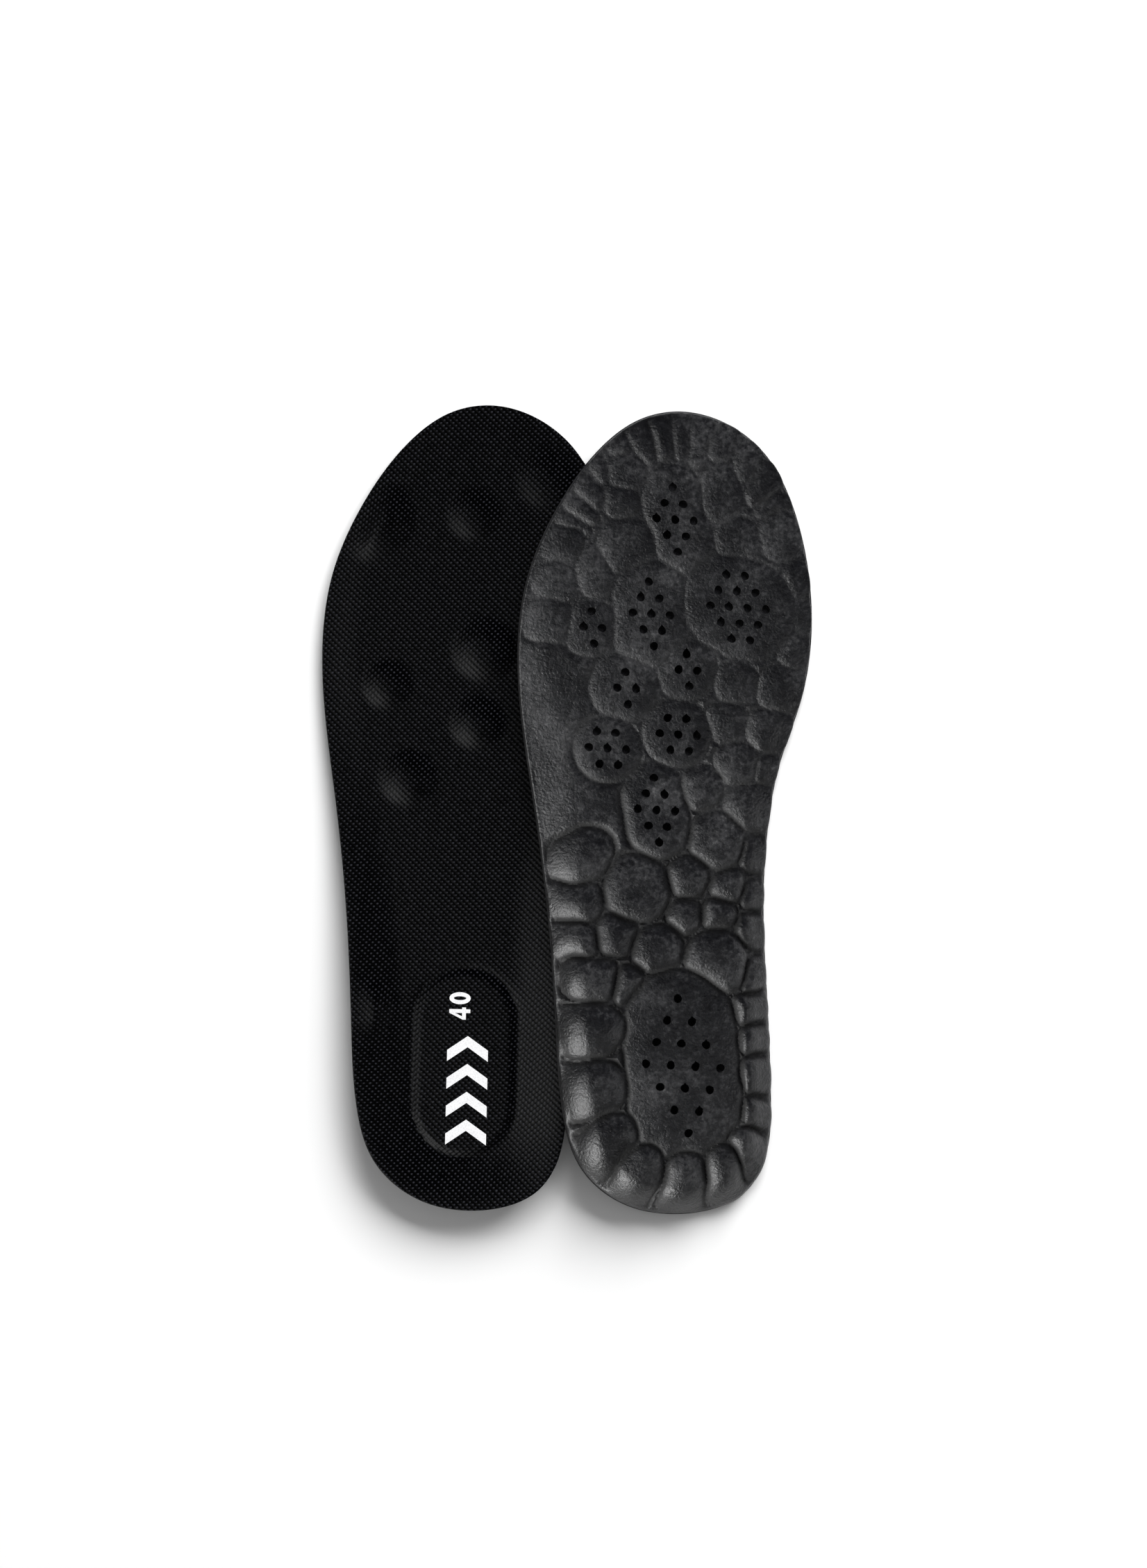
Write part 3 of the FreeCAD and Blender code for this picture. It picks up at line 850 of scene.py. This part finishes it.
def base_foam():
    """Moulded polyurethane foam: a charcoal skin with cloudy patches, grain, sparks and small pits,
    with painted shade darkening its creases, which are also rougher and so duller."""
    n = Nodes("base_foam")
    cloud = n.noise(0.016, 4.0, 0.6)
    grain = n.noise(0.0016, 4.0, 0.7)
    pits = n.add("ShaderNodeTexVoronoi", {"Vector": n.place, "Scale": 1 / 0.0016})
    pit = n.math("LESS_THAN", pits.outputs["Distance"], 0.10)
    tone = n.math("MULTIPLY_ADD", grain, 0.60, n.math("MULTIPLY", cloud, 0.50))
    colour = n.ramp(tone, [(0.42, (0.0008, 0.0008, 0.0016)), (0.55, (0.0048, 0.0050, 0.0063)),
                           (0.68, (0.028, 0.028, 0.030)), (0.80, (0.10, 0.10, 0.102))])
    # painted shade: where ambient occlusion finds a crease or nook, the colour is blended to
    # near-black
    crease_occlusion = n.add("ShaderNodeAmbientOcclusion", {"Distance": 0.004}, samples=8, only_local=True)
    unoccluded_share = n.math("POWER", crease_occlusion.outputs["AO"], 6.0)
    colour = n.add("ShaderNodeMix", {0: unoccluded_share, 6: (0.001, 0.001, 0.0012, 1), 7: colour},
                   data_type="RGBA").outputs[2]
    rough = n.math("MULTIPLY_ADD", cloud, 0.35, n.math("MULTIPLY_ADD", unoccluded_share, -0.45, 0.72))
    sparks = n.math("MULTIPLY", n.noise(0.0009, 1.0), 0.6)
    height = n.math("SUBTRACT", n.math("ADD", grain, sparks), n.math("MULTIPLY", pit, 0.6))
    n.set(Base_Color=colour, Roughness=rough, Normal=n.bump(height, 0.00030),
          Specular_IOR_Level=0.50)
    return n.material


def inlay_foam():
    """Open-cell cushion foam, dark grey."""
    n = Nodes("inlay_foam")
    cells = n.add("ShaderNodeTexVoronoi", {"Vector": n.place, "Scale": 1 / 0.0005})
    cells = cells.outputs["Distance"]
    colour = n.ramp(n.math("ADD", cells, n.math("MULTIPLY", n.noise(0.006), 0.4)),
                    [(0.1, (0.004, 0.004, 0.005)), (0.9, (0.016, 0.016, 0.018))])
    n.set(Base_Color=colour, Roughness=0.95, Normal=n.bump(cells, 0.0002), Specular_IOR_Level=0.1)
    return n.material


def melt_film():
    """Hot-melt adhesive film, dark and slightly glossy where it shows as a line at the edge."""
    n = Nodes("melt_film")
    streaks = n.noise(0.002, 3.0)
    n.set(Base_Color=n.ramp(streaks, [(0.2, (0.010, 0.010, 0.012)), (0.8, (0.03, 0.03, 0.032))]),
          Roughness=n.math("MULTIPLY_ADD", streaks, 0.2, 0.35))
    return n.material


def white_ink():
    """Screen-printed white ink, slightly uneven over the knit."""
    n = Nodes("white_ink")
    grain = n.noise(0.0005, 3.0, 0.7)
    colour = n.ramp(grain, [(0.25, (0.62, 0.62, 0.64)), (0.5, (0.84, 0.84, 0.85)),
                            (0.8, (0.90, 0.90, 0.90))])
    n.set(Base_Color=colour, Roughness=0.55, Normal=n.bump(grain, 0.00008, 0.8))
    return n.material


# ---------------------------------------------------------------- the object
def build_insole(place, looks):
    """Every piece of one insole, riding on its body."""
    body = f"{place.name}_insole"
    spacing = MEDIUM if place.face_up else HIDDEN
    foam_top = CLOTH + FILM
    cloth = layer(place, f"{place.name}_knit_cover", CLOTH_RINGS, spacing,
                  0.0, CLOTH, CLOTH_ROUNDING, looks["cloth"])
    film = layer(place, f"{place.name}_melt_film", FILM_RINGS, spacing,
                 CLOTH, foam_top, 0.0, looks["film"])
    foam = layer(place, f"{place.name}_foam_inlay", INLAY_RINGS, INLAY,
                 foam_top, foam_top + FOAM, INLAY_ROUNDING, looks["foam"])
    base = moulded_base(place, looks["base"])
    numbers = digit_shapes(1 if place.face_up else -1)
    digits = print_piece(place, f"{place.name}_size_digits", numbers, looks["ink"])
    mark = print_piece(place, f"{place.name}_toe_chevrons", chevron_shapes(), looks["ink"])
    slots = {
        cloth: ("top_cloth", "knit_cloth"), film: ("bond_film", "bond_film"),
        foam: ("cushion_foam", "cushion_foam"), base: ("moulded_base", "base_foam"),
        digits: ("size_print", "white_ink"), mark: ("heel_mark", "white_ink"),
    }
    for piece, (node, slot) in slots.items():
        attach(piece, body)
        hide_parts(f"{place.name}_{node}")


looks = {
    "cloth": knit_cloth(), "base": base_foam(), "foam": inlay_foam(),
    "film": melt_film(), "ink": white_ink(),
}
for insole in (LEFT, RIGHT):
    build_insole(insole, looks)


# ---------------------------------------------------------------- floor, light and camera
def studio_floor():
    """A plain white table, far larger than the view."""
    n = Nodes("white_table")
    n.set(Base_Color=(0.93, 0.93, 0.93, 1), Roughness=0.9, Specular_IOR_Level=0.1)
    size = 3.0
    corners = size * np.array([(-1, -1, 0), (1, -1, 0), (1, 1, 0), (-1, 1, 0)], float)
    floor = add_mesh("table", corners, [(0, 1, 2, 3)], n.material)


def soft_light(name, at, size, power, diffuse=True, gloss=True):
    """A soft box that faces the middle of the table; diffuse and gloss say which light it gives."""
    light = bpy.data.lights.new(name, "AREA")
    light.shape = "RECTANGLE"
    light.size, light.size_y = size
    light.energy = power
    lamp = bpy.data.objects.new(name, light)
    bpy.context.scene.collection.objects.link(lamp)
    lamp.location = at
    lamp.rotation_euler = (-Vector(at)).to_track_quat("-Z", "Y").to_euler()
    lamp.visible_diffuse = diffuse
    lamp.visible_glossy = gloss


def studio():
    """A white surround, a large soft box beyond the toes, and three small ones for gloss alone."""
    world = bpy.data.worlds.new("studio")
    world.use_nodes = True
    surround = world.node_tree.nodes["Background"].inputs
    surround["Color"].default_value = (1, 1, 1, 1)
    surround["Strength"].default_value = 0.28
    world.cycles_visibility.glossy = False
    bpy.context.scene.world = world
    soft_light("toe_side_box", (1.50, 3.20, 2.80), (3.8, 2.8), 345, gloss=False)
    soft_light("heel_gloss", (-0.70, -0.90, 0.62), (0.9, 0.5), 34, diffuse=False)
    soft_light("left_gloss", (-0.85, -0.10, 1.00), (0.5, 0.9), 12, diffuse=False)
    soft_light("right_gloss", (1.0, -0.25, 0.45), (0.5, 0.35), 2, diffuse=False)


def camera():
    """Straight down, from 1.6 m above the level that the picture's height is measured at."""
    distance, level = 1.6, 0.008
    picture_height = 0.5063
    view = bpy.data.cameras.new("camera")
    view.sensor_fit = "VERTICAL"
    view.sensor_height = 24.0
    view.lens = view.sensor_height * distance / picture_height
    view.clip_end = 20
    eye = bpy.data.objects.new("camera", view)
    bpy.context.scene.collection.objects.link(eye)
    eye.location = (0.0020, 0.0084, distance + level)
    bpy.context.scene.camera = eye


studio_floor()
studio()
camera()
bpy.context.scene.view_settings.view_transform = "Standard"
